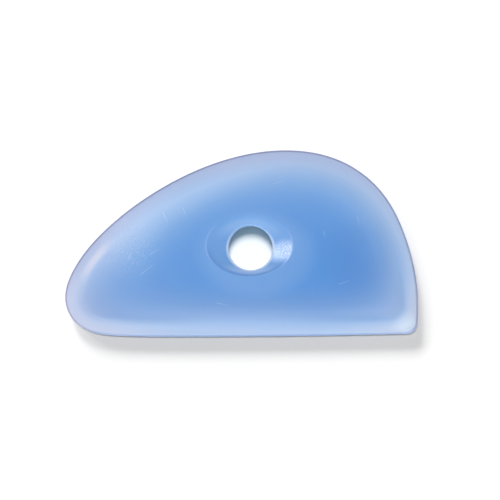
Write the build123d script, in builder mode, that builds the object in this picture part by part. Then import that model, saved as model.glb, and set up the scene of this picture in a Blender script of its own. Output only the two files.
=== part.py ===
from build123d import *
from math import asin, atan2, cos, degrees, hypot, pi, radians, sin
import os

os.makedirs("parts", exist_ok=True)

# A hand rib for shaping clay on the wheel: one moulding in soft translucent polymer.
# The origin is in the finger hole, halfway through the thickness. +X points to the
# heel, +Y to the curved back, and +Z up, out of one of two faces that are alike.

# Overall sizes, in mm
rib_length = 133.2        # from the toe tip to the side of the heel
rib_height = 70.5         # from the straight edge to the top of the curved back
rib_thickness = 6.4       # between the two lands, the flat middles of the faces
hole_from_toe = 70.0      # to the centre of the finger hole
hole_from_edge = 33.5

# Working edge, with the same profile all round the rib
nose_radius = 0.9         # full round at the very edge
bevel_width = 6.3         # from the edge in to the soft ridge
bevel_height = 2.25       # of the ridge over mid-thickness
heel_lean = 1.2           # degrees that the side of the heel leans at its foot

# Rounding of the one sharp corner, softer from section to section
heel_radius = 3.9         # at the edge
ridge_corner_radius = 5.5
land_corner_radius = 9.0

# Finger hole, and the dish that leads into it from either face
hole_radius = 8.3
lip_radius = 1.2          # rounding between the hole and the wall of the dish
web_thickness = 3.0       # left between the floors of the two dishes
dish_length = 32.6        # of the oval rim, along X
dish_width = 23.2         # and along Y
dish_towards_toe = 0.5    # how far the middle of the rim lies from the hole's centre
dish_towards_back = 1.0
cut_overrun = 1.0         # how far the dish's cut runs out past the land

# Outline, in shares of the length from the toe and of the height from the edge.
# It starts at the heel, runs over the back and round the toe, and ends on the edge.
back_shares = [
    (0.998, 0.017), (1.000, 0.201), (0.973, 0.490), (0.887, 0.800), (0.778, 0.946),
    (0.626, 1.000), (0.440, 0.941), (0.240, 0.759), (0.107, 0.561), (0.024, 0.362),
    (0.000, 0.192), (0.024, 0.087), (0.090, 0.019), (0.158, 0.005), (0.279, 0.000),
]

# The land has the outline's own shape, drawn in towards one place on the rib
land_centre_shares = (0.730, 0.445)
land_size_shares = (0.630, 0.620)

# Sections in the lofts of the nose and of the crown
nose_steps = 5
crown_steps = 4

half_thickness = rib_thickness / 2
half_web = web_thickness / 2


def from_shares(x_share, y_share):
    """A place on the rib, measured from the finger hole."""
    return Vector(x_share * rib_length - hole_from_toe, y_share * rib_height - hole_from_edge)


back_points = [from_shares(*shares) for shares in back_shares]
land_centre = from_shares(*land_centre_shares)
heel_tangent = Vector(0, 1).rotate(Axis.Z, -heel_lean)
edge_tangent = Vector(1, 0)
even_pace = (1, 1)        # keeps the spline as evenly spread at its ends as between
back = Spline(*back_points, tangents=[heel_tangent, edge_tangent], tangent_scalars=even_pace)


def section_points(inset, land_share):
    """The outline's points, moved in square to it and then some way to the land."""
    points = []
    for place in back_points:
        along = back.tangent_at(place)
        moved = place + along.rotate(Axis.Z, 90) * inset
        if place == back_points[0]:
            moved += along * inset
        reach = place - land_centre
        on_land = land_centre + Vector(reach.X * land_size_shares[0], reach.Y * land_size_shares[1])
        points.append(moved + (on_land - moved) * land_share)
    return points


def section(inset, land_share, height, corner_radius):
    """One level section: the curved back, the slightly bowed edge and the heel's corner."""
    with BuildSketch(Plane.XY.offset(height)) as profile:
        with BuildLine():
            curve = Spline(
                *section_points(inset, land_share),
                tangents=[heel_tangent, edge_tangent],
                tangent_scalars=even_pace,
            )
            TangentArc(curve @ 1, curve @ 0, tangent=edge_tangent)
        make_face()
        fillet(vertices().sort_by_distance(curve @ 0)[0], corner_radius)
    return profile.sketch


# The bevel is the straight slope that touches the nose's round and meets the ridge
bevel_run = bevel_width - nose_radius
bevel_slope = degrees(atan2(bevel_height, bevel_run) - asin(nose_radius / hypot(bevel_run, bevel_height)))

# How far the wall of the dish is drawn out, so that its cut runs past the land
dish_depth = half_thickness - half_web
overrun_flare = (dish_depth + cut_overrun) / dish_depth

with BuildPart() as rib:
    # Nose, a round from mid-thickness up to where the bevel touches it
    nose_sections = []
    for step in range(nose_steps + 1):
        turn = radians((90 - bevel_slope) * step / nose_steps)
        inset = nose_radius * (1 - cos(turn))
        nose_sections.append(section(inset, 0, nose_radius * sin(turn), heel_radius))
    loft(nose_sections, ruled=True)

    # Bevel, from the nose up to the ridge
    ridge = section(bevel_width, 0, bevel_height, ridge_corner_radius)
    loft([nose_sections[-1], ridge], ruled=True)

    # Crown, which rises from the ridge and levels out into the land
    crown_sections = []
    for step in range(crown_steps + 1):
        share = step / crown_steps
        rise = (half_thickness - bevel_height) * sin(share * pi / 2)
        corner = ridge_corner_radius + (land_corner_radius - ridge_corner_radius) * share
        crown_sections.append(section(bevel_width, share, bevel_height + rise, corner))
    loft(crown_sections)

    # Dish, with straight walls from the round hole out to the oval rim
    for flare in (0, overrun_flare):
        with BuildSketch(Plane.XY.offset(half_web + dish_depth * flare)):
            with Locations((-dish_towards_toe * flare, dish_towards_back * flare)):
                Ellipse(
                    hole_radius + (dish_length / 2 - hole_radius) * flare,
                    hole_radius + (dish_width / 2 - hole_radius) * flare,
                )
    loft(ruled=True, mode=Mode.SUBTRACT)

    # The other face, then the hole through both with a rounded lip at each end
    mirror(about=Plane.XY)
    Hole(hole_radius)
    bore = faces().filter_by(GeomType.CYLINDER)[0]
    fillet(bore.edges().filter_by(GeomType.LINE, reverse=True), lip_radius)

rib.part.label = "rib"
export_step(rib.part, "parts/rib.step")
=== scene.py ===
import math

import bpy
import numpy as np
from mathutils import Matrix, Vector


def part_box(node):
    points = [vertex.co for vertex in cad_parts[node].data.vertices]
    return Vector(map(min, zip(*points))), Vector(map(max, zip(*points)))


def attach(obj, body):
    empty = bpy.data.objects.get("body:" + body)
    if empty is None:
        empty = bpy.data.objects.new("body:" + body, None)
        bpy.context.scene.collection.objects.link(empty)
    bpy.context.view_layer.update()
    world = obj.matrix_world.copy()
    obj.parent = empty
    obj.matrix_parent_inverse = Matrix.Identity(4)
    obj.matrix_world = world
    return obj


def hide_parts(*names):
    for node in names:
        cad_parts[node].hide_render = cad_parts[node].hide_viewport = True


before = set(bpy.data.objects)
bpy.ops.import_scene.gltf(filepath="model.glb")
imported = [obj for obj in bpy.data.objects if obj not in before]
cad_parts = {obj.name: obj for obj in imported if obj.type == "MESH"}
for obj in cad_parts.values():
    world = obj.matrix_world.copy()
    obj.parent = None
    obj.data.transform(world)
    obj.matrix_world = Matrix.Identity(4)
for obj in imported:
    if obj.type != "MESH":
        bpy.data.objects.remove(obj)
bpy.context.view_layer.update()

mm = 0.001
print("frame loaded:", sorted(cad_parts))


# One moulded rib of soft blue polymer. The two faces are alike about z = 0, and the
# finger hole stands on the origin.
ribShape = {
    "length": 133.2 * mm,            # toe tip to heel
    "height": 70.5 * mm,             # straight edge to the top of the back
    "thickness": 6.4 * mm,
    "holeFromToe": 70.0 * mm,
    "holeFromEdge": 33.5 * mm,
    "noseRadius": 0.9 * mm,          # round at the very edge
    "bevelWidth": 6.3 * mm,
    "bevelHeight": 2.25 * mm,        # of the ridge over mid-thickness
    "heelLean": math.radians(1.2),
    "noseCorner": 3.9 * mm,          # radius of the heel's corner at the edge
    "ridgeCorner": 5.5 * mm,
    "landCorner": 9.0 * mm,
    "holeRadius": 8.3 * mm,
    "lipRadius": 1.2 * mm,           # between the hole and the wall of the dish
    "webThickness": 3.0 * mm,        # between the floors of the two dishes
    "dishLength": 32.6 * mm,
    "dishWidth": 23.2 * mm,
    "dishCentre": (-0.5 * mm, 1.0 * mm),
    "rimSoftness": 0.3 * mm,         # worn rounding of the dish's rim
    # the outline from the heel over the back to the edge, in shares of length and height
    "backShares": [
        (0.998, 0.017), (1.000, 0.201), (0.973, 0.490), (0.887, 0.800), (0.778, 0.946),
        (0.626, 1.000), (0.440, 0.941), (0.240, 0.759), (0.107, 0.561), (0.024, 0.362),
        (0.000, 0.192), (0.024, 0.087), (0.090, 0.019), (0.158, 0.005), (0.279, 0.000),
    ],
    "landCentreShares": (0.730, 0.445),
    "landSizeShares": (0.630, 0.620),
}

# How many points the skin has along each stretch of the outline and of the profile
skinCounts = {
    "back": 320,
    "edge": 124,
    "corner": 36,
    "nose": 8,
    "bevel": 9,
    "crown": 20,
    "land": 12,
    "rim": 4,
    "wall": 12,
    "lip": 8,
    "bore": 4,
}
crownCrowding = 1.3      # how much closer the crown's points lie by the ridge


def fromShares(xShare, yShare):
    return np.array([
        xShare * ribShape["length"] - ribShape["holeFromToe"],
        yShare * ribShape["height"] - ribShape["holeFromEdge"],
    ])


def turnedLeft(along):
    return np.stack([-along[..., 1], along[..., 0]], axis=-1)


class SmoothLine:
    # a smooth line through points, evenly paced, with its direction given at both ends

    def __init__(self, points, startAlong, endAlong):
        self.points = np.array(points)
        steps = np.linalg.norm(np.diff(self.points, axis=0), axis=1)
        self.places = np.concatenate([[0.0], np.cumsum(steps)])
        count = len(points)
        rows = np.zeros((count, count))
        right = np.zeros((count, 2))
        rows[0, 0] = rows[-1, -1] = 1.0
        right[0], right[-1] = startAlong, endAlong
        # the line bends as much before each point as after it
        for i in range(1, count - 1):
            before, after = steps[i - 1], steps[i]
            rows[i, i - 1:i + 2] = after, 2 * (before + after), before
            right[i] = 3 * (
                after / before * (self.points[i] - self.points[i - 1])
                + before / after * (self.points[i + 1] - self.points[i])
            )
        self.slopes = np.linalg.solve(rows, right)

    def at(self, place):
        # the place and the direction there
        place = np.atleast_1d(place)
        i = np.clip(np.searchsorted(self.places, place, side="right") - 1, 0, len(self.places) - 2)
        step = (self.places[i + 1] - self.places[i])[:, None]
        t = (place - self.places[i])[:, None] / step
        p, q = self.points[i], self.points[i + 1]
        m, n = self.slopes[i] * step, self.slopes[i + 1] * step
        spot = (2 * t**3 - 3 * t**2 + 1) * p + (t**3 - 2 * t**2 + t) * m
        spot += (3 * t**2 - 2 * t**3) * q + (t**3 - t**2) * n
        along = (6 * t**2 - 6 * t) * (p - q) + (3 * t**2 - 4 * t + 1) * m + (3 * t**2 - 2 * t) * n
        return spot, along / np.linalg.norm(along, axis=1)[:, None]


class BowedLine:
    # an arc that leaves one point along +X and ends at another

    def __init__(self, start, end):
        self.start = start
        reach = end - start
        self.radius = (reach @ reach) / (2 * reach[1])
        self.turn = 2 * math.atan2(reach[1], reach[0])

    def at(self, share):
        turn = np.atleast_1d(share) * self.turn
        spot = self.start + self.radius * np.stack([np.sin(turn), 1 - np.cos(turn)], axis=-1)
        return spot, np.stack([np.cos(turn), np.sin(turn)], axis=-1)


def cornerPlaces(back, edge, radius):
    # where a round of this radius touches the edge and the back, closed in on by steps
    onEdge, onBack = 1.0, 0.0
    edgeLength = abs(edge.radius * edge.turn)
    nudge = 0.01 * mm
    rounds = 12

    def gap(shareOfEdge, placeOnBack):
        a, alongA = edge.at(shareOfEdge)
        b, alongB = back.at(placeOnBack)
        return (a + turnedLeft(alongA) * radius - b - turnedLeft(alongB) * radius)[0]

    for _ in range(rounds):
        here = gap(onEdge, onBack)
        slopes = np.stack([
            (gap(onEdge + nudge / edgeLength, onBack) - here) / nudge,
            (gap(onEdge, onBack + nudge) - here) / nudge,
        ], axis=1)
        move = np.linalg.solve(slopes, -here)
        onEdge += move[0] / edgeLength
        onBack += move[1]
    return onEdge, onBack


def levelSection(inset, landShare, cornerRadius):
    # one closed section: the back, then the bowed edge, then the heel's corner
    heelAlong = np.array([math.sin(ribShape["heelLean"]), math.cos(ribShape["heelLean"])])
    edgeAlong = np.array([1.0, 0.0])
    outer = [fromShares(*shares) for shares in ribShape["backShares"]]
    outerLine = SmoothLine(outer, heelAlong, edgeAlong)
    landCentre = fromShares(*ribShape["landCentreShares"])
    points = []
    for i, spot in enumerate(outer):
        along = outerLine.at(outerLine.places[i])[1][0]
        moved = spot + turnedLeft(along) * inset
        if i == 0:                   # the corner moves in from both of its sides
            moved = moved + along * inset
        onLand = landCentre + (spot - landCentre) * np.array(ribShape["landSizeShares"])
        points.append(moved + (onLand - moved) * landShare)
    back = SmoothLine(points, heelAlong, edgeAlong)
    edge = BowedLine(points[-1], points[0])
    onEdge, onBack = cornerPlaces(back, edge, cornerRadius)
    backSpots, _ = back.at(np.linspace(onBack, back.places[-1], skinCounts["back"] + 1)[:-1])
    edgeSpots, _ = edge.at(np.linspace(0.0, onEdge, skinCounts["edge"] + 1)[:-1])
    start, startAlong = (part[0] for part in edge.at(onEdge))
    end, _ = (part[0] for part in back.at(onBack))
    centre = start + turnedLeft(startAlong) * cornerRadius
    turns = np.linspace(
        math.atan2(*(start - centre)[::-1]),
        math.atan2(*(end - centre)[::-1]),
        skinCounts["corner"] + 1,
    )[:-1]
    cornerSpots = centre + cornerRadius * np.stack([np.cos(turns), np.sin(turns)], axis=-1)
    return np.concatenate([backSpots, edgeSpots, cornerSpots])


def profileLoop():
    # (reach, rise) round the section of the rib's wall. Reach runs 0 to 1 over the bevel,
    # and on by one each for crown, land, rim, wall, lip and bore.
    shape, counts = ribShape, skinCounts
    run = shape["bevelWidth"] - shape["noseRadius"]
    slope = math.atan2(shape["bevelHeight"], run)
    slope -= math.asin(shape["noseRadius"] / math.hypot(run, shape["bevelHeight"]))
    half = shape["thickness"] / 2
    upper = []
    for step in range(counts["nose"]):
        turn = (math.pi / 2 - slope) * step / counts["nose"]
        inset = shape["noseRadius"] * (1 - math.cos(turn))
        upper.append((inset / shape["bevelWidth"], shape["noseRadius"] * math.sin(turn)))
    touch = math.pi / 2 - slope
    touchReach = shape["noseRadius"] * (1 - math.cos(touch)) / shape["bevelWidth"]
    touchRise = shape["noseRadius"] * math.sin(touch)
    for step in range(counts["bevel"]):
        share = math.sin(step / counts["bevel"] * math.pi / 2)
        upper.append((
            touchReach + (1 - touchReach) * share,
            touchRise + (shape["bevelHeight"] - touchRise) * share,
        ))
    for step in range(counts["crown"]):
        share = (step / counts["crown"]) ** crownCrowding
        rise = (half - shape["bevelHeight"]) * math.sin(share * math.pi / 2)
        upper.append((1 + share, shape["bevelHeight"] + rise))
    # from the land on, the skin's tree sets the height
    for zone, name in enumerate(("land", "rim", "wall", "lip", "bore"), start=2):
        for step in range(counts[name]):
            upper.append((zone + step / counts[name], half))
    innermost = (zone + 1.0, 0.0)
    lower = [(reach, -rise) for reach, rise in upper[:0:-1]]
    return upper + [innermost] + lower


def closedCurve(name, spots):
    # a closed line of straight steps, laid flat
    data = bpy.data.curves.new(name, "CURVE")
    data.dimensions = "3D"
    line = data.splines.new("POLY")
    line.points.add(len(spots) - 1)
    line.points.foreach_set("co", [c for x, y in spots for c in (x, y, 0.0, 1.0)])
    line.use_cyclic_u = True
    made = bpy.data.objects.new(name, data)
    bpy.context.scene.collection.objects.link(made)
    return made


def addNode(tree, kind, inputs=(), **settings):
    # a node with its settings, and its inputs linked or set in order or by name
    node = tree.nodes.new(kind)
    for key, value in settings.items():
        setattr(node, key, value)
    pairs = inputs.items() if isinstance(inputs, dict) else enumerate(inputs)
    for key, value in pairs:
        if isinstance(value, bpy.types.NodeSocket):
            tree.links.new(value, node.inputs[key])
        else:
            node.inputs[key].default_value = value
    return node


def calculate(tree, operation, *values):
    return addNode(tree, "ShaderNodeMath", values, operation=operation).outputs[0]


def product(tree, *values):
    result = values[0]
    for value in values[1:]:
        result = calculate(tree, "MULTIPLY", result, value)
    return result


def calculateVector(tree, operation, *values):
    return addNode(tree, "ShaderNodeVectorMath", values, operation=operation).outputs[0]


def scaled(tree, vector, factor):
    return addNode(
        tree, "ShaderNodeVectorMath", {"Vector": vector, "Scale": factor}, operation="SCALE"
    ).outputs[0]


def joined(tree, x, y, z=0.0):
    return addNode(tree, "ShaderNodeCombineXYZ", (x, y, z)).outputs[0]


def parted(tree, vector):
    return addNode(tree, "ShaderNodeSeparateXYZ", (vector,)).outputs


def lengthOf(tree, vector):
    return addNode(tree, "ShaderNodeVectorMath", (vector,), operation="LENGTH").outputs["Value"]


def mixedVector(tree, factor, first, second):
    return addNode(
        tree, "ShaderNodeMix", {0: factor, 4: first, 5: second}, data_type="VECTOR"
    ).outputs[1]


def storedValue(tree, geometry, name, value):
    # the same geometry, with one value kept at each of its points
    return addNode(
        tree, "GeometryNodeStoreNamedAttribute",
        {"Geometry": geometry, "Name": name, "Value": value}, data_type="FLOAT", domain="POINT",
    ).outputs[0]


def treeInput(tree, name, kind, value=None):
    socket = tree.interface.new_socket(name, in_out="INPUT", socket_type=kind)
    if value is not None:
        socket.default_value = value
    return socket.identifier


def setInputs(modifier, identifiers, values):
    for name, value in values.items():
        modifier[identifiers[name]] = value


def meshOf(source, name):
    # the evaluated result as a plain mesh object of its own
    depsgraph = bpy.context.evaluated_depsgraph_get()
    data = bpy.data.meshes.new_from_object(source.evaluated_get(depsgraph), depsgraph=depsgraph)
    data.name = name
    made = bpy.data.objects.new(name, data)
    bpy.context.scene.collection.objects.link(made)
    return made


def headingTo(tree, start, end):
    return calculateVector(tree, "NORMALIZE", calculateVector(tree, "SUBTRACT", end, start))


def bentSpot(tree, share, first, middle, last, pull):
    # a bend from first to last that leans towards middle, an arc where pull fits
    rest = calculate(tree, "SUBTRACT", 1.0, share)
    a = calculate(tree, "MULTIPLY", rest, rest)
    b = product(tree, rest, share, 2.0, pull)
    c = calculate(tree, "MULTIPLY", share, share)
    total = calculate(tree, "ADD", calculate(tree, "ADD", a, b), c)
    spot = calculateVector(tree, "ADD", scaled(tree, first, a), scaled(tree, middle, b))
    spot = calculateVector(tree, "ADD", spot, scaled(tree, last, c))
    return scaled(tree, spot, calculate(tree, "DIVIDE", 1.0, total))


def dishBends(tree, given, landSpot):
    # where the rim of the dish and the lip of the hole start, bend and end, in line with
    # this place on the land, and the pull of the lip's bend
    half, halfWeb, rimX, rimY = (
        calculate(tree, "MULTIPLY", given[name], 0.5)
        for name in ("Thickness", "Web thickness", "Dish length", "Dish width")
    )
    landX, landY, _ = parted(
        tree, calculateVector(tree, "SUBTRACT", landSpot, given["Dish centre"])
    )
    angle = calculate(
        tree, "ARCTAN2",
        calculate(tree, "DIVIDE", landY, rimY), calculate(tree, "DIVIDE", landX, rimX),
    )
    cosine, sine = calculate(tree, "COSINE", angle), calculate(tree, "SINE", angle)

    def onOval(sizeX, sizeY, height):
        x, y = calculate(tree, "MULTIPLY", sizeX, cosine), calculate(tree, "MULTIPLY", sizeY, sine)
        return joined(tree, x, y, height)

    rimSpot = calculateVector(tree, "ADD", given["Dish centre"], onOval(rimX, rimY, half))
    holeSpot = onOval(given["Hole radius"], given["Hole radius"], halfWeb)
    wallUp = headingTo(tree, holeSpot, rimSpot)
    landEdge = calculateVector(tree, "ADD", landSpot, joined(tree, 0.0, 0.0, half))
    outwards = headingTo(tree, rimSpot, landEdge)

    # the rim is softened between the land and the wall
    softness = given["Rim softness"]
    rimOuter = calculateVector(tree, "ADD", rimSpot, scaled(tree, outwards, softness))
    rimInner = calculateVector(tree, "SUBTRACT", rimSpot, scaled(tree, wallUp, softness))

    # the lip is a round that touches the wall and the bore
    _, _, wallRise = parted(tree, wallUp)
    narrow = calculate(tree, "SUBTRACT", 1.0, wallRise)
    wide = calculate(tree, "ADD", 1.0, wallRise)
    touch = calculate(
        tree, "MULTIPLY", given["Lip radius"],
        calculate(tree, "SQRT", calculate(tree, "DIVIDE", narrow, wide)),
    )
    down = calculate(tree, "MULTIPLY", touch, -1.0)
    lipOuter = calculateVector(tree, "ADD", holeSpot, scaled(tree, wallUp, touch))
    lipInner = calculateVector(tree, "ADD", holeSpot, joined(tree, 0.0, 0.0, down))
    lipPull = calculate(tree, "SQRT", calculate(tree, "MULTIPLY", wide, 0.5))
    return (rimOuter, rimSpot, rimInner), (lipOuter, holeSpot, lipInner), lipPull


def skinTree():
    # carries the profile round the outline, and draws it in to the ridge, the land, the
    # dish's rim and the finger hole
    tree = bpy.data.node_groups.new("ribSkin", "GeometryNodeTree")
    sizes = {
        "Thickness": "thickness", "Hole radius": "holeRadius", "Lip radius": "lipRadius",
        "Web thickness": "webThickness", "Dish length": "dishLength",
        "Dish width": "dishWidth", "Rim softness": "rimSoftness",
    }
    ids = {"Outline": treeInput(tree, "Outline", "NodeSocketGeometry")}
    for name in ("Profile", "Ridge", "Land"):
        ids[name] = treeInput(tree, name, "NodeSocketObject")
    for name, key in sizes.items():
        ids[name] = treeInput(tree, name, "NodeSocketFloat", ribShape[key])
    ids["Dish centre"] = treeInput(tree, "Dish centre", "NodeSocketVector")
    ids["Finish"] = treeInput(tree, "Finish", "NodeSocketMaterial")
    tree.interface.new_socket("Skin", in_out="OUTPUT", socket_type="NodeSocketGeometry")
    given = addNode(tree, "NodeGroupInput").outputs
    position = addNode(tree, "GeometryNodeInputPosition").outputs[0]
    index = addNode(tree, "GeometryNodeInputIndex").outputs[0]

    def curveOf(name):
        return addNode(tree, "GeometryNodeObjectInfo", {"Object": given[name]}).outputs["Geometry"]

    def sampled(geometry, place):
        return addNode(
            tree, "GeometryNodeSampleIndex",
            {"Geometry": geometry, "Value": position, "Index": place},
            data_type="FLOAT_VECTOR", domain="POINT",
        ).outputs[0]

    # each point's station on the outline, and its place on the profile there
    profile = curveOf("Profile")
    profileSize = addNode(
        tree, "GeometryNodeAttributeDomainSize", (profile,), component="CURVE"
    ).outputs["Point Count"]
    station = calculate(tree, "FLOOR", calculate(tree, "DIVIDE", index, profileSize))
    onProfile = calculate(
        tree, "SUBTRACT", index, calculate(tree, "MULTIPLY", station, profileSize)
    )
    reach, rise, _ = parted(tree, sampled(profile, onProfile))
    height = calculate(tree, "ABSOLUTE", rise)
    outlineSpot = sampled(given["Outline"], station)
    ridgeSpot, landSpot = (sampled(curveOf(name), station) for name in ("Ridge", "Land"))
    rim, lip, lipPull = dishBends(tree, given, landSpot)

    def within(zone):
        # 0 to 1 across this stretch of the profile
        return addNode(
            tree, "ShaderNodeMath", (reach, -float(zone)), operation="ADD", use_clamp=True
        ).outputs[0]

    spot = mixedVector(tree, within(0), outlineSpot, ridgeSpot)
    spot = mixedVector(tree, within(1), spot, landSpot)
    spot = calculateVector(tree, "ADD", spot, joined(tree, 0.0, 0.0, height))
    for zone, bend, pull in ((3, rim, 1.0), (5, lip, lipPull)):
        # straight up to the bend, and then round it
        spot = mixedVector(tree, within(zone - 1), spot, bend[0])
        onBend = calculate(tree, "GREATER_THAN", reach, float(zone))
        spot = mixedVector(tree, onBend, spot, bentSpot(tree, within(zone), *bend, pull))
    boreMiddle = calculateVector(tree, "MULTIPLY", lip[1], (1.0, 1.0, 0.0))
    spot = mixedVector(tree, within(6), spot, boreMiddle)
    side = joined(tree, 1.0, 1.0, calculate(tree, "SIGN", rise))
    spot = calculateVector(tree, "MULTIPLY", spot, side)

    skin = addNode(
        tree, "GeometryNodeCurveToMesh", {"Curve": given["Outline"], "Profile Curve": profile}
    ).outputs[0]
    skin = addNode(
        tree, "GeometryNodeSetPosition", {"Geometry": skin, "Position": spot}
    ).outputs[0]
    skin = addNode(tree, "GeometryNodeFlipFaces", (skin,)).outputs[0]
    skin = storedValue(tree, skin, "reach", reach)
    skin = addNode(
        tree, "GeometryNodeSetShadeSmooth", {"Geometry": skin, "Shade Smooth": True}
    ).outputs[0]
    skin = addNode(tree, "GeometryNodeRealizeInstances", (skin,)).outputs[0]
    skin = addNode(
        tree, "GeometryNodeSetMaterial", {"Geometry": skin, "Material": given["Finish"]}
    ).outputs[0]
    addNode(tree, "NodeGroupOutput", (skin,))
    return tree, ids


# How the blue gathers where light crosses more polymer
depthField = {
    "spacing": 1.0 * mm,             # of the grid that the thickness is measured on
    "margin": 24.0 * mm,             # of grid round the rib
    "spread": 7.5 * mm,              # how far the light strays inside the polymer
}


def depthTree():
    # measures how much polymer a vertical ray crosses, and lets it spread sideways
    tree = bpy.data.node_groups.new("polymerDepth", "GeometryNodeTree")
    kinds = {
        "NodeSocketGeometry": ("Rib",),
        "NodeSocketFloat": ("Size X", "Size Y", "Thickness", "Dish length", "Dish width"),
        "NodeSocketInt": ("Points X", "Points Y", "Steps"),
        "NodeSocketVector": ("Centre", "Dish centre"),
    }
    ids = {name: treeInput(tree, name, kind) for kind, names in kinds.items() for name in names}
    tree.interface.new_socket("Rib", in_out="OUTPUT", socket_type="NodeSocketGeometry")
    given = addNode(tree, "NodeGroupInput").outputs
    position = addNode(tree, "GeometryNodeInputPosition").outputs[0]
    grid = addNode(
        tree, "GeometryNodeMeshGrid",
        {"Size X": given["Size X"], "Size Y": given["Size Y"],
         "Vertices X": given["Points X"], "Vertices Y": given["Points Y"]},
    ).outputs[0]
    grid = addNode(
        tree, "GeometryNodeSetPosition", {"Geometry": grid, "Offset": given["Centre"]}
    ).outputs[0]

    def surfaceHeight(side):
        # height of the skin over the grid's point, seen from above or from below
        away = calculate(tree, "MULTIPLY", given["Thickness"], 2.0 * side)
        source = calculateVector(tree, "ADD", position, joined(tree, 0.0, 0.0, away))
        ray = addNode(
            tree, "GeometryNodeRaycast",
            {"Target Geometry": given["Rib"], "Source Position": source,
             "Ray Direction": (0.0, 0.0, -side)},
        )
        return ray.outputs["Is Hit"], parted(tree, ray.outputs["Hit Position"])[2]

    isHit, above = surfaceHeight(1.0)
    _, below = surfaceHeight(-1.0)
    crossed = calculate(tree, "MULTIPLY", calculate(tree, "SUBTRACT", above, below), isHit)
    # the dish and the hole are taken for solid
    fromDish = calculateVector(tree, "SUBTRACT", position, given["Dish centre"])
    dishSize = joined(tree, given["Dish length"], given["Dish width"], 1.0)
    inDish = calculate(
        tree, "LESS_THAN", lengthOf(tree, calculateVector(tree, "DIVIDE", fromDish, dishSize)), 0.5
    )
    filled = calculate(
        tree, "MAXIMUM", crossed, calculate(tree, "MULTIPLY", inDish, given["Thickness"])
    )
    spread = addNode(
        tree, "GeometryNodeBlurAttribute",
        {"Value": filled, "Iterations": given["Steps"], "Weight": 1.0}, data_type="FLOAT",
    ).outputs[0]
    onGrid = addNode(
        tree, "GeometryNodeInputNamedAttribute", {"Name": "depth"}, data_type="FLOAT"
    ).outputs[0]
    flat = calculateVector(tree, "MULTIPLY", position, (1.0, 1.0, 0.0))
    sample = addNode(
        tree, "GeometryNodeSampleNearestSurface",
        {"Mesh": storedValue(tree, grid, "depth", spread), "Value": onGrid,
         "Sample Position": flat}, data_type="FLOAT",
    ).outputs[0]
    addNode(tree, "NodeGroupOutput", (storedValue(tree, given["Rib"], "depth", sample),))
    return tree, ids


def blurSteps():
    # one step on a square grid spreads a value by 0.4 of the spacing squared
    stepSpread = 0.4 * depthField["spacing"] ** 2
    return round(depthField["spread"] ** 2 / stepSpread)


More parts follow.
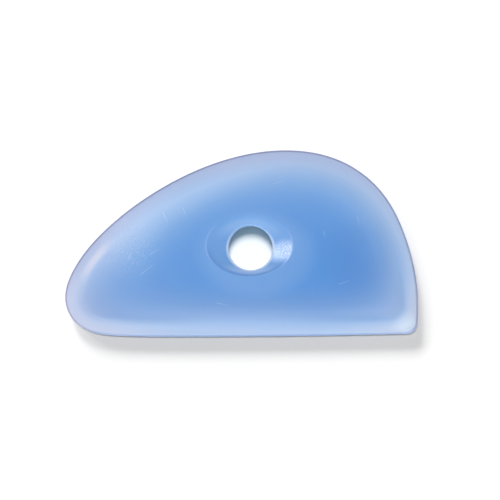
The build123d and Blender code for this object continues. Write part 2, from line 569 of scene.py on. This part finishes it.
# The finish: soft clear blue that pales towards the thin edges. What changes it from place
# to place is in rows that end in where the change lies. Two numbers there are where it
# starts and where it is full, and four are a band that comes and goes. "reach" is the
# profile's, "rim" counts from the middle of the halo in shares of the dish's rim, "aside"
# is the distance from the hole along X, and "low" is the height over a leaning line. A
# "patch" is round, with its centre and how far it reaches. "share" is the most that shows
# of the change, and "grows" says along what, between which places and from what to what
# that share changes.
polymerLook = {
    # the colour where light has crossed this much polymer, as red, green and blue of 255
    "depthColours": [
        (1.0 * mm, (170, 178, 207)), (2.0 * mm, (178, 193, 223)), (3.0 * mm, (177, 200, 232)),
        (4.0 * mm, (158, 190, 230)), (5.0 * mm, (135, 177, 225)), (6.0 * mm, (109, 161, 220)),
        (7.0 * mm, (72, 145, 216)),
    ],
    "paintedShadingLean": (0.0085, -0.0135),      # painted shade and light: how the depth, and so the colour, seems to grow along X and Y, deeper towards the heel and the straight edge
    "haloCentre": (1.8 * mm, -2.2 * mm),
    "lowLean": -0.10,                    # how that line leans
    "patchCore": 0.2,                    # the share of a patch's reach where it is full
    # what is added to the depth: a halo for the thinner polymer round the dish, and painted light
    # and shade on the low side
    "depthAndShadingChanges": [
        # a paler halo round the dish
        (-0.66 * mm, {"rim": (1.60, 1.00)}),
        # painted light: the lower bevel paler, as light through the polymer gathers at the far
        # edge
        (-0.05 * mm, {"reach": (1.25, 0.75), "y": (8.0 * mm, -14.0 * mm)}),
        # deeper just inside the lower ridge, more towards the toe: partly the thicker polymer
        # inside the ridge, partly painted shade on the side away from the light
        (0.50 * mm, {
            "reach": (0.88, 1.10, 1.35, 2.2),
            "x": (-10.0 * mm, -60.0 * mm), "y": (8.0 * mm, -14.0 * mm),
        }),
        # painted light: paler inside the ridge of the heel, on its low side, where light through
        # the polymer gathers
        (-0.55 * mm, {
            "reach": (0.9, 1.2), "x": (22.0 * mm, 54.0 * mm), "y": (8.0 * mm, -22.0 * mm),
        }),
    ],
    # a tint multiplies the colour, and a paint, as red, green and blue of 255, covers it.
    # They are laid on in this order.
    "washes": [
        # the face reads a clearer blue over the toe, and deeper by the heel
        ("tint", (0.88, 0.96, 1.0), {"patch": ((-26.0 * mm, 9.0 * mm), 36.0 * mm)}),
        ("tint", (0.90, 0.91, 0.945), {"patch": ((42.0 * mm, -3.0 * mm), 21.0 * mm)}),
        # the lower crown turns towards violet
        ("tint", (0.985, 0.925, 0.94), {
            "reach": (0.7, 1.5, 1.9, 2.7), "low": (0.0 * mm, -24.0 * mm),
        }),
        # inside the ridge of the toe
        ("tint", (0.93, 0.92, 0.955), {
            "reach": (0.93, 1.08, 1.6, 2.5), "x": (-36.0 * mm, -58.0 * mm),
        }),
        # painted light: the low bevel of the toe and the heel paler, where light through the
        # polymer gathers at the far edge
        ("paint", (208, 214, 232), {
            "share": 0.42, "reach": (0.95, 0.30),
            "aside": (24.0 * mm, 58.0 * mm), "y": (-4.0 * mm, -22.0 * mm),
        }),
        # painted shade: a deeper line along the lower ridge
        ("tint", (0.87, 0.90, 0.93), {
            "reach": (0.62, 0.95, 1.10, 1.50),
            "aside": (4.0 * mm, 46.0 * mm), "y": (-4.0 * mm, -22.0 * mm),
        }),
        # painted light: the wall of the dish paler below and above the hole, lit through the
        # polymer
        ("paint", (196, 220, 255), {
            "share": 0.50, "reach": (4.05, 4.7, 5.0, 5.4), "y": (-5.5 * mm, -9.0 * mm),
        }),
        ("paint", (176, 208, 240), {
            "share": 0.25, "reach": (4.05, 4.7, 5.0, 5.4), "y": (3.0 * mm, 8.0 * mm),
        }),
        # painted shade: the dark line of the very edge, round the back, then along the straight
        # edge
        ("tint", (0.61, 0.595, 0.68), {"reach": (0.15, 0.07), "y": (-32.5 * mm, -28.5 * mm)}),
        ("tint", (0.62, 0.72, 0.88), {"reach": (0.15, 0.07), "y": (-28.5 * mm, -32.5 * mm)}),
        # painted highlight: a paler strip inside the ridge over the toe, where the ridge gleams
        ("paint", (202, 218, 242), {
            "share": 0.10, "reach": (0.97, 1.06, 1.12, 1.7),
            "x": (12.0 * mm, -22.0 * mm), "y": (-6.0 * mm, 6.0 * mm),
        }),
        # painted highlights: a pale streak on the bevel of the toe, and a pale spot at the corner
        # of the heel
        ("paint", (228, 224, 233), {
            "share": 0.50, "reach": (0.40, 0.68, 0.82, 1.0),
            "patch": ((-60.7 * mm, -2.8 * mm), 12.0 * mm),
        }),
        ("paint", (226, 240, 255), {
            "share": 0.52, "reach": (0.02, 0.40, 0.70, 1.1),
            "patch": ((60.2 * mm, -31.2 * mm), 9.0 * mm),
        }),
        # painted highlight: the fine light line on the rim of the dish, which grows towards both
        # its ends
        ("paint", (190, 214, 250), {
            "reach": (2.97, 3.1, 3.5, 3.9),
            "grows": ("aside", (12.0 * mm, 16.3 * mm), (0.03, 0.32)),
        }),
        # and painted shade: the darker line below it
        ("tint", (0.84, 0.89, 0.96), {
            "reach": (3.6, 4.0, 4.05, 4.35), "y": (4.0 * mm, -5.0 * mm),
        }),
        # painted highlight: the pale lip of the hole, fainter above it, then the bore
        ("paint", (212, 226, 252), {
            "reach": (4.92, 5.2, 5.8, 6.1),
            "grows": ("y", (0.5 * mm, 7.0 * mm), (0.75, 0.15)),
        }),
        # painted shade: the bore dark, as in the hole's shade
        ("paint", (96, 132, 160), {"reach": (5.8, 6.1)}),
    ],
    "roughness": 0.29,
    "roughnessChanges": [
        (0.21, {"x": (-30.0 * mm, -62.0 * mm)}),     # worn at the toe
        (-0.06, {"reach": (3.0, 3.6)}),              # smoother in the dish
    ],
    "ior": 1.45,
    "shine": 0.5,
    "softness": 0.8,                     # how much of the light strays inside, and how far
    "softRadius": 3.5 * mm,
}

# Wear: a fine grain, scuffs where the thumb and the clay rub, and a few hairline scratches. The
# pale brush strokes in the dish are wear and also a painted highlight on the dish's wall
polymerWear = {
    "grainSize": 0.45 * mm,
    "grainDetail": 3.0,
    "grainDepth": 0.012 * mm,
    "grainRoughness": 0.03,
    "brushLength": 1.0 * mm,
    "brushWidth": 0.28 * mm,
    "brushDetail": 2.0,
    "brushDepth": 0.06 * mm,
    "brushTurn": math.radians(-52.0),
    "toeScuff": ((-46.0 * mm, 1.0 * mm), 17.0 * mm),     # both are patches
    # the brush marks of the dish, whose pale strokes also paint the highlight on its wall
    "dishScuffAndGleam": ((12.6 * mm, -0.5 * mm), 4.6 * mm),
    "toePaleness": 0.16,
    "dishPaleMarksAndGleam": 0.65,
    "scuffAndGleamLimits": (0.48, 0.70),         # where in the pattern a pale mark, scuff or painted gleam, starts, and is full
    "scuffAndGleamColour": (255, 255, 255),
    # from one end to the other, then the width, in millimetres
    "scratches": [
        ((-33.0, 13.5), (-31.2, 9.6), 0.20), ((-37.6, -2.2), (-34.4, -0.4), 0.14),
        ((-41.2, -9.8), (-36.8, -6.4), 0.14), ((-25.4, 15.2), (-24.6, 12.6), 0.14),
        ((-46.0, -4.0), (-44.9, -1.2), 0.12), ((27.5, 6.4), (28.1, 4.2), 0.14),
        ((33.4, -13.6), (37.0, -12.2), 0.12), ((8.4, 24.2), (12.6, 25.4), 0.12),
        ((-12.8, -20.6), (-8.2, -21.6), 0.12), ((40.2, 11.8), (41.0, 8.8), 0.12),
    ],
    "scratchPaleness": 0.36,
    "scratchCore": 0.1,                  # the share of its width where it is full
    "scratchFade": 0.6,                  # how much of it is gone at its far end
}


def printedColour(red, green, blue):
    # a colour given as it prints, as the light that a shader counts in
    return tuple(
        part / 12.92 if part <= 0.04045 else ((part + 0.055) / 1.055) ** 2.4
        for part in (red / 255, green / 255, blue / 255)
    )


def mixedColour(tree, mask, colour, other, blend="MIX"):
    # the colour, changed by another where the mask is 1
    return addNode(
        tree, "ShaderNodeMix", {0: mask, 6: colour, 7: (*other, 1.0)},
        data_type="RGBA", blend_type=blend,
    ).outputs[2]


def tinted(tree, mask, colour, tint):
    return mixedColour(tree, mask, colour, tint, "MULTIPLY")


def painted(tree, mask, colour, paint):
    return mixedColour(tree, mask, colour, printedColour(*paint))


def faded(tree, value, start, end):
    # 0 at the start to 1 at the end, with soft ends
    return addNode(
        tree, "ShaderNodeMapRange", (value, start, end), interpolation_type="SMOOTHSTEP"
    ).outputs[0]


def bandOf(tree, value, start, full, fades, end):
    # 1 between two places, with soft ends
    rises = faded(tree, value, start, full)
    return calculate(tree, "MULTIPLY", rises, faded(tree, value, end, fades))


def patchOf(tree, flat, centre, size):
    # 1 in the middle of a round patch, and 0 past its reach
    away = lengthOf(tree, calculateVector(tree, "SUBTRACT", flat, (*centre, 0.0)))
    return faded(tree, away, size, polymerLook["patchCore"] * size)


def placesOf(tree):
    # all that the finish reads at a point
    look = polymerLook
    spot = addNode(tree, "ShaderNodeTexCoord").outputs["Object"]
    x, y, _ = parted(tree, spot)
    flat = joined(tree, x, y)
    fromHalo = calculateVector(tree, "SUBTRACT", flat, (*look["haloCentre"], 0.0))
    rimSize = (ribShape["dishLength"] / 2, ribShape["dishWidth"] / 2, 1.0)
    places = {
        name: addNode(tree, "ShaderNodeAttribute", attribute_name=name).outputs["Fac"]
        for name in ("depth", "reach")
    }
    return places | {
        "spot": spot, "flat": flat, "x": x, "y": y,
        "aside": calculate(tree, "ABSOLUTE", x),
        "low": calculate(tree, "MULTIPLY_ADD", x, look["lowLean"], y),
        "rim": lengthOf(tree, calculateVector(tree, "DIVIDE", fromHalo, rimSize)),
    }


def maskOf(tree, places, where):
    # how much of a change a point gets, from what the change's row says about where it lies
    parts = []
    for name, value in where.items():
        if name == "share":
            parts.append(value)
        elif name == "patch":
            parts.append(patchOf(tree, places["flat"], *value))
        elif name == "grows":
            along, stretch, shares = value
            inputs = (places[along], *stretch, *shares)
            parts.append(addNode(tree, "ShaderNodeMapRange", inputs).outputs[0])
        else:
            shaped = faded if len(value) == 2 else bandOf
            parts.append(shaped(tree, places[name], *value))
    return product(tree, *parts)


def rampOf(tree, value, stops):
    # a colour for each place along the value, in order
    low, high = stops[0][0], stops[-1][0]
    share = addNode(tree, "ShaderNodeMapRange", (value, low, high)).outputs[0]
    ramp = addNode(tree, "ShaderNodeValToRGB", (share,))
    elements = ramp.color_ramp.elements
    while len(elements) < len(stops):
        elements.new(0.5)
    for element, (place, colour) in zip(elements, stops):
        element.position = (place - low) / (high - low)
        element.color = (*printedColour(*colour), 1.0)
    return ramp.outputs["Color"]


def polymerColour(tree, places):
    # the colour of the depth that the eye reads, with painted shade and light leaned and added in,
    # then the washes over it, some of them painted light and shade
    look = polymerLook
    depth = places["depth"]
    # painted shade and light: the depth leans along X and Y
    for name, lean in zip(("x", "y"), look["paintedShadingLean"]):
        depth = calculate(tree, "MULTIPLY_ADD", places[name], lean, depth)
    for change, where in look["depthAndShadingChanges"]:
        depth = calculate(tree, "MULTIPLY_ADD", maskOf(tree, places, where), change, depth)
    colour = rampOf(tree, depth, look["depthColours"])
    for lay, shade, where in look["washes"]:
        laid = tinted if lay == "tint" else painted
        colour = laid(tree, maskOf(tree, places, where), colour, shade)
    return colour


def scratchGroup():
    # a fine stroke between two places on the face
    group = bpy.data.node_groups.new("scratch", "ShaderNodeTree")
    for name in ("Place", "From", "To"):
        treeInput(group, name, "NodeSocketVector")
    treeInput(group, "Width", "NodeSocketFloat")
    group.interface.new_socket("Mask", in_out="OUTPUT", socket_type="NodeSocketFloat")
    given = addNode(group, "NodeGroupInput").outputs

    def dot(first, second):
        return addNode(
            group, "ShaderNodeVectorMath", (first, second), operation="DOT_PRODUCT"
        ).outputs["Value"]

    run = calculateVector(group, "SUBTRACT", given["To"], given["From"])
    reached = calculateVector(group, "SUBTRACT", given["Place"], given["From"])
    share = addNode(
        group, "ShaderNodeMath", (dot(reached, run), dot(run, run)), operation="DIVIDE",
        use_clamp=True,
    ).outputs[0]
    aside = lengthOf(group, calculateVector(group, "SUBTRACT", reached, scaled(group, run, share)))
    core = calculate(group, "MULTIPLY", given["Width"], polymerWear["scratchCore"])
    # a stroke starts strong and fades as it goes
    lost = calculate(group, "MULTIPLY", share, polymerWear["scratchFade"])
    mask = product(
        group, faded(group, aside, given["Width"], core), calculate(group, "SUBTRACT", 1.0, lost)
    )
    addNode(group, "NodeGroupOutput", (mask,))
    return group


def scratched(tree, flat):
    # the strongest of all the scratches at each place
    group = scratchGroup()
    total = None
    for start, end, width in polymerWear["scratches"]:
        stroke = addNode(tree, "ShaderNodeGroup", node_tree=group)
        tree.links.new(flat, stroke.inputs["Place"])
        stroke.inputs["From"].default_value = (start[0] * mm, start[1] * mm, 0.0)
        stroke.inputs["To"].default_value = (end[0] * mm, end[1] * mm, 0.0)
        stroke.inputs["Width"].default_value = width * mm
        mask = stroke.outputs["Mask"]
        total = mask if total is None else calculate(tree, "MAXIMUM", total, mask)
    return total


def noiseOf(tree, vector, scale, detail):
    return addNode(
        tree, "ShaderNodeTexNoise", {"Vector": vector, "Scale": scale, "Detail": detail}
    ).outputs["Fac"]


def wornFinish(tree, places, colour):
    # the colour, the roughness and the height that use has left, with a painted highlight in the
    # pale strokes of the dish
    look, wear = polymerLook, polymerWear
    flat = places["flat"]
    grain = noiseOf(tree, places["spot"], 1 / wear["grainSize"], wear["grainDetail"])
    turned = addNode(
        tree, "ShaderNodeVectorRotate", {"Vector": flat, "Angle": wear["brushTurn"]},
        rotation_type="Z_AXIS",
    ).outputs[0]
    stretch = (1 / wear["brushLength"], 1 / wear["brushWidth"], 1.0)
    brushed = noiseOf(
        tree, calculateVector(tree, "MULTIPLY", turned, stretch), 1.0, wear["brushDetail"]
    )
    toeScuff, dishScuffAndGleam = (patchOf(tree, flat, *wear[name]) for name in ("toeScuff", "dishScuffAndGleam"))

    # pale marks: the scratches and the toe's scuffs are wear, and the dish's strokes are wear and
    # a painted highlight
    pale = calculate(tree, "MULTIPLY", scratched(tree, flat), wear["scratchPaleness"])
    for pattern, patch, paleness in (
        (grain, toeScuff, wear["toePaleness"]), (brushed, dishScuffAndGleam, wear["dishPaleMarksAndGleam"]),
    ):
        marks = product(tree, faded(tree, pattern, *wear["scuffAndGleamLimits"]), patch, paleness)
        pale = calculate(tree, "ADD", pale, marks)
    colour = painted(tree, pale, colour, wear["scuffAndGleamColour"])

    unevenness = calculate(tree, "SUBTRACT", grain, 0.5)
    roughness = calculate(
        tree, "MULTIPLY_ADD", unevenness, wear["grainRoughness"], look["roughness"]
    )
    for change, where in look["roughnessChanges"]:
        roughness = calculate(
            tree, "MULTIPLY_ADD", maskOf(tree, places, where), change, roughness
        )
    strokes = product(tree, brushed, dishScuffAndGleam, wear["brushDepth"])
    height = calculate(tree, "MULTIPLY_ADD", grain, wear["grainDepth"], strokes)
    return colour, roughness, height


def polymerFinish():
    material = bpy.data.materials.new("clearBluePolymer")
    material.use_nodes = True
    tree = material.node_tree
    places = placesOf(tree)
    colour, roughness, height = wornFinish(tree, places, polymerColour(tree, places))
    bump = addNode(tree, "ShaderNodeBump", {"Height": height, "Distance": 1.0, "Strength": 1.0})
    inputs = tree.nodes["Principled BSDF"].inputs
    tree.links.new(colour, inputs["Base Color"])
    tree.links.new(roughness, inputs["Roughness"])
    tree.links.new(bump.outputs[0], inputs["Normal"])
    for name, value in (
        ("IOR", "ior"), ("Specular IOR Level", "shine"), ("Subsurface Weight", "softness"),
        ("Subsurface Scale", "softRadius"),
    ):
        inputs[name].default_value = polymerLook[value]
    inputs["Subsurface Radius"].default_value = (1.0, 1.0, 1.0)      # all colours stray alike
    return material


def makeRib():
    shape = ribShape
    outline = closedCurve("outline", levelSection(0.0, 0.0, shape["noseCorner"]))
    ridge = closedCurve("ridge", levelSection(shape["bevelWidth"], 0.0, shape["ridgeCorner"]))
    land = closedCurve("land", levelSection(shape["bevelWidth"], 1.0, shape["landCorner"]))
    profile = closedCurve("profile", profileLoop())
    tree, ids = skinTree()
    skin = outline.modifiers.new("skin", "NODES")
    skin.node_group = tree
    setInputs(skin, ids, {
        "Profile": profile, "Ridge": ridge, "Land": land,
        "Dish centre": (*shape["dishCentre"], 0.0), "Finish": polymerFinish(),
    })
    made = meshOf(outline, "bareRib")
    for helper in (outline, ridge, land, profile):
        bpy.data.objects.remove(helper)
    print("skin:", len(made.data.vertices), "points,", len(made.data.polygons), "faces")
    return made


def measureDepth(piece):
    # the same piece, with the depth of the polymer kept at each of its points
    low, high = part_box("rib")
    spacing, margin = depthField["spacing"], depthField["margin"]
    size = [high[i] - low[i] + 2 * margin for i in (0, 1)]
    tree, ids = depthTree()
    modifier = piece.modifiers.new("depth", "NODES")
    modifier.node_group = tree
    setInputs(modifier, ids, {
        "Size X": size[0], "Size Y": size[1], "Thickness": ribShape["thickness"],
        "Points X": round(size[0] / spacing) + 1, "Points Y": round(size[1] / spacing) + 1,
        "Steps": blurSteps(), "Centre": ((low[0] + high[0]) / 2, (low[1] + high[1]) / 2, 0.0),
        "Dish centre": (*ribShape["dishCentre"], 0.0),
        "Dish length": ribShape["dishLength"], "Dish width": ribShape["dishWidth"],
    })
    measured = meshOf(piece, "pottery_rib")
    bpy.data.objects.remove(piece)
    values = np.zeros(len(measured.data.vertices), np.float32)
    measured.data.attributes["depth"].data.foreach_get("value", values)
    print("depth: from %.4f to %.4f m" % (values.min(), values.max()))
    return measured


rib = measureDepth(makeRib())
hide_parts("rib")
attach(rib, "root")
print("rib in place")


# The photograph looks straight down, from far enough that nothing leans
studio = {
    "frameWidth": 188.9 * mm,        # what the picture's width covers, at mid-thickness
    "pictureCentre": (-0.23 * mm, -0.68 * mm),
    "lens": 180.0,                   # both in millimetres, as a camera counts them
    "sensor": 36.0,
    "floorSize": 3.0,
    "holePaperRadius": 11.0 * mm,
    "holePaperRise": 0.01 * mm,
    "holePaperSides": 64,
    "paperTone": 0.85,
    "paperToneSeen": 1.0,            # only for what the camera sees, so that it prints white
    "skyLight": 0.12,
}

# Each lamp's azimuth from +X towards +Y, its elevation and the angle it spans, in degrees,
# then the light that it gives a level sheet, and what it lights. In a real rib, light also
# reaches its far side and the paper in the hole through the polymer, more than a render
# passes on: the rib and that spot of paper have lamps of their own.
studioLamps = {
    "paperKey": (110.0, 23.0, 20.0, 0.33, "paper"),
    "paperSide": (135.0, 22.0, 14.0, 0.11, "paper"),
    "paperTop": (110.0, 82.0, 14.0, 0.49, "paper"),
    "holeKey": (92.0, 47.0, 26.0, 0.80, "holePaper"),
    "holeGlow": (0.0, 90.0, 180.0, 0.20, "holePaper"),
    "ribDome": (0.0, 90.0, 180.0, 0.50, "rib"),
    "ribGlow": (250.0, 40.0, 50.0, 0.28, "rib"),
    "sideLight": (142.0, 63.5, 15.0, 0.13, "rib"),
    "sideGleam": (168.0, 63.5, 14.0, 0.31, "rib"),
}
glossyLamps = ("sideLight", "sideGleam")     # the lamps that show as a highlight
gleamLamp = "sideGleam"                      # and the one that does nothing else
tealLamp = "holeGlow"                        # the light that comes through the polymer
teal = (0.35, 0.85, 1.15)


def hangLamp(name, azimuth, elevation, spread, light, receiver):
    # a soft lamp far away, which looks at the origin
    data = bpy.data.lights.new(name, "SUN")
    lamp = bpy.data.objects.new(name, data)
    bpy.context.scene.collection.objects.link(lamp)
    a, e = math.radians(azimuth), math.radians(elevation)
    towards = Vector((math.cos(a) * math.cos(e), math.sin(a) * math.cos(e), math.sin(e)))
    lamp.location = towards
    lamp.rotation_euler = towards.to_track_quat("Z", "Y").to_euler()
    lamp.visible_glossy = name in glossyLamps
    lamp.visible_diffuse = name != gleamLamp
    lamp.light_linking.receiver_collection = receiver
    data.angle = math.radians(spread)
    data.energy = math.pi * light / math.sin(e)      # pi lights a sheet that faces it in full
    if name == tealLamp:
        data.color = teal


def whitePaper():
    paper = bpy.data.materials.new("whitePaper")
    paper.use_nodes = True
    tree = paper.node_tree
    tree.nodes.remove(tree.nodes["Principled BSDF"])
    cameraRay = addNode(tree, "ShaderNodeLightPath").outputs["Is Camera Ray"]
    tone = addNode(
        tree, "ShaderNodeMapRange",
        {"Value": cameraRay, "To Min": studio["paperTone"], "To Max": studio["paperToneSeen"]},
    ).outputs[0]
    diffuse = addNode(tree, "ShaderNodeBsdfDiffuse", {"Color": tone})
    tree.links.new(diffuse.outputs[0], tree.nodes["Material Output"].inputs["Surface"])
    return paper


def layPaper():
    ground = -ribShape["thickness"] / 2
    bpy.ops.mesh.primitive_plane_add(size=studio["floorSize"], location=(0, 0, ground))
    floor = bpy.context.object
    floor.name = "floor"
    # a spot of paper of its own, hidden under the rib but for what the hole shows
    bpy.ops.mesh.primitive_circle_add(
        vertices=studio["holePaperSides"], radius=studio["holePaperRadius"], fill_type="NGON",
        location=(0, 0, ground + studio["holePaperRise"]),
    )
    holePaper = bpy.context.object
    holePaper.name = "holePaper"
    paper = whitePaper()
    for sheet in (floor, holePaper):
        sheet.data.materials.append(paper)
    return {"paper": floor, "holePaper": holePaper}


def hangLamps(lit):
    # each lamp lights only what it is meant for
    receivers = {}
    for name, piece in lit.items():
        receivers[name] = bpy.data.collections.new(name + "Lit")
        receivers[name].objects.link(piece)
    for name, (*aim, light, target) in studioLamps.items():
        hangLamp(name, *aim, light, receivers[target])


def makeWorld():
    # plain white where it is seen, and a weak light for all else
    world = bpy.data.worlds.new("whiteRoom")
    world.use_nodes = True
    tree = world.node_tree
    rays = addNode(tree, "ShaderNodeLightPath").outputs
    seen = rays["Is Camera Ray"]
    for kind in ("Is Glossy Ray", "Is Transmission Ray"):
        seen = calculate(tree, "MAXIMUM", seen, rays[kind])
    strength = addNode(
        tree, "ShaderNodeMapRange", {"Value": seen, "To Min": studio["skyLight"], "To Max": 1.0}
    ).outputs[0]
    background = tree.nodes["Background"].inputs
    tree.links.new(strength, background["Strength"])
    background["Color"].default_value = (1.0, 1.0, 1.0, 1.0)
    return world


def aimCamera():
    camera = bpy.data.cameras.new("camera")
    camera.lens, camera.sensor_width = studio["lens"], studio["sensor"]
    eye = bpy.data.objects.new("camera", camera)
    bpy.context.scene.collection.objects.link(eye)
    distance = studio["frameWidth"] * studio["lens"] / studio["sensor"]
    eye.location = (*studio["pictureCentre"], distance)
    camera.clip_end = 10 * distance
    return eye


hangLamps(layPaper() | {"rib": rib})
bpy.context.scene.world = makeWorld()
bpy.context.scene.camera = aimCamera()
bpy.context.scene.view_settings.view_transform = "Standard"
print("studio ready")
